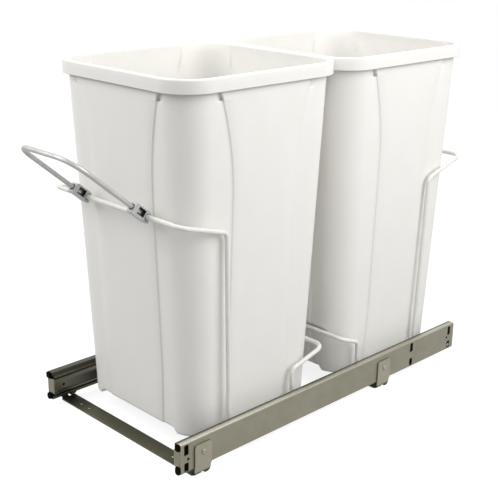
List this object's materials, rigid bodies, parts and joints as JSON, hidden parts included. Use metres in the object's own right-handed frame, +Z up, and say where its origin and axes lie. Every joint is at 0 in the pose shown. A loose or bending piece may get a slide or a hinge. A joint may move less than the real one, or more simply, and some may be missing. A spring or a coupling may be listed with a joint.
{
  "type": "pull-out waste bin unit",
  "caption": "Pull-out waste unit for a base cabinet: open bins in a white wire carriage on full-extension ball-bearing slides, with a folding wire handle.",
  "frame": {"origin": "on the underside of the front cross strip, at its middle, where it rests on the cabinet floor", "axes": "+X to the right, +Y to the rear, +Z up; the unit pulls out along -Y"},
  "size_m": [0.289, 0.6484, 0.4784],
  "materials": {
    "slide_zinc": "zinc-plated cold-rolled steel, satin, slightly warm grey",
    "strip_zinc": "zinc-plated sheet steel, darker and duller than the slides",
    "fastener_zinc": "zinc-plated steel fasteners",
    "ball_steel": "bright steel balls in a plated steel cage",
    "black_plastic": "black moulded plastic",
    "white_coat": "white powder coat on steel wire and bar",
    "handle_wire": "plated steel wire, light grey",
    "clamp_plastic": "grey moulded plastic",
    "bin_plastic": "white injection-moulded polypropylene, satin"
  },
  "bodies": {
    "base_frame": {"left_cabinet_member": "slide_zinc", "right_cabinet_member": "slide_zinc", "front_cross_strip": "strip_zinc", "rear_cross_strip": "strip_zinc", "left_front_rivet": "fastener_zinc", "left_rear_rivet": "fastener_zinc", "right_front_rivet": "fastener_zinc", "right_rear_rivet": "fastener_zinc"},
    "carriage": {"left_drawer_member": "slide_zinc", "right_drawer_member": "slide_zinc", "left_side_rail": "white_coat", "right_side_rail": "white_coat", "left_front_rail_screw": "fastener_zinc", "left_middle_rail_screw": "fastener_zinc", "left_rear_rail_screw": "fastener_zinc", "right_front_rail_screw": "fastener_zinc", "right_middle_rail_screw": "fastener_zinc", "right_rear_rail_screw": "fastener_zinc", "front_hoop": "white_coat", "rear_hoop": "white_coat", "front_bin_keeper_wire": "white_coat", "rear_bin_keeper_wire": "white_coat", "front_bin_front_floor_wire": "white_coat", "front_bin_rear_floor_wire": "white_coat", "rear_bin_front_floor_wire": "white_coat", "rear_bin_rear_floor_wire": "white_coat"},
    "left_intermediate": {"left_intermediate_member": "slide_zinc", "left_upper_front_bumper": "black_plastic", "left_lower_front_bumper": "black_plastic"},
    "left_outer_retainer": {"left_outer_ball_retainer": "ball_steel"},
    "left_inner_retainer": {"left_inner_ball_retainer": "ball_steel"},
    "right_intermediate": {"right_intermediate_member": "slide_zinc", "right_upper_front_bumper": "black_plastic", "right_lower_front_bumper": "black_plastic"},
    "right_outer_retainer": {"right_outer_ball_retainer": "ball_steel"},
    "right_inner_retainer": {"right_inner_ball_retainer": "ball_steel"},
    "handle": {"handle_bail": "handle_wire", "left_handle_clamp": "clamp_plastic", "right_handle_clamp": "clamp_plastic"},
    "front_bin": {"front_bin": "bin_plastic"},
    "rear_bin": {"rear_bin": "bin_plastic"}
  },
  "joints": [
    {"name": "pull_out", "type": "slide", "parent": "base_frame", "child": "carriage", "axis": [0, -1, 0], "range_m": [0, 0.547]},
    {"name": "left_intermediate_run", "type": "slide", "parent": "base_frame", "child": "left_intermediate", "axis": [0, -1, 0], "range_m": [0, 0.2735]},
    {"name": "left_outer_retainer_run", "type": "slide", "parent": "base_frame", "child": "left_outer_retainer", "axis": [0, -1, 0], "range_m": [0, 0.13675]},
    {"name": "left_inner_retainer_run", "type": "slide", "parent": "base_frame", "child": "left_inner_retainer", "axis": [0, -1, 0], "range_m": [0, 0.41025]},
    {"name": "right_intermediate_run", "type": "slide", "parent": "base_frame", "child": "right_intermediate", "axis": [0, -1, 0], "range_m": [0, 0.2735]},
    {"name": "right_outer_retainer_run", "type": "slide", "parent": "base_frame", "child": "right_outer_retainer", "axis": [0, -1, 0], "range_m": [0, 0.13675]},
    {"name": "right_inner_retainer_run", "type": "slide", "parent": "base_frame", "child": "right_inner_retainer", "axis": [0, -1, 0], "range_m": [0, 0.41025]},
    {"name": "handle_pivot", "type": "hinge", "parent": "carriage", "child": "handle", "pos_m": [0, -0.0132, 0.3134], "axis": [-1, 0, 0], "range_deg": [-128, 48]},
    {"name": "front_bin_lift", "type": "slide", "parent": "carriage", "child": "front_bin", "axis": [0, 0, 1], "range_m": [0, 0.45]},
    {"name": "rear_bin_lift", "type": "slide", "parent": "carriage", "child": "rear_bin", "axis": [0, 0, 1], "range_m": [0, 0.45]}
  ],
  "couplings": [
    {"joint": "left_intermediate_run", "follows": "pull_out", "ratio": 0.5},
    {"joint": "left_outer_retainer_run", "follows": "pull_out", "ratio": 0.25},
    {"joint": "left_inner_retainer_run", "follows": "pull_out", "ratio": 0.75},
    {"joint": "right_intermediate_run", "follows": "pull_out", "ratio": 0.5},
    {"joint": "right_outer_retainer_run", "follows": "pull_out", "ratio": 0.25},
    {"joint": "right_inner_retainer_run", "follows": "pull_out", "ratio": 0.75}
  ]
}
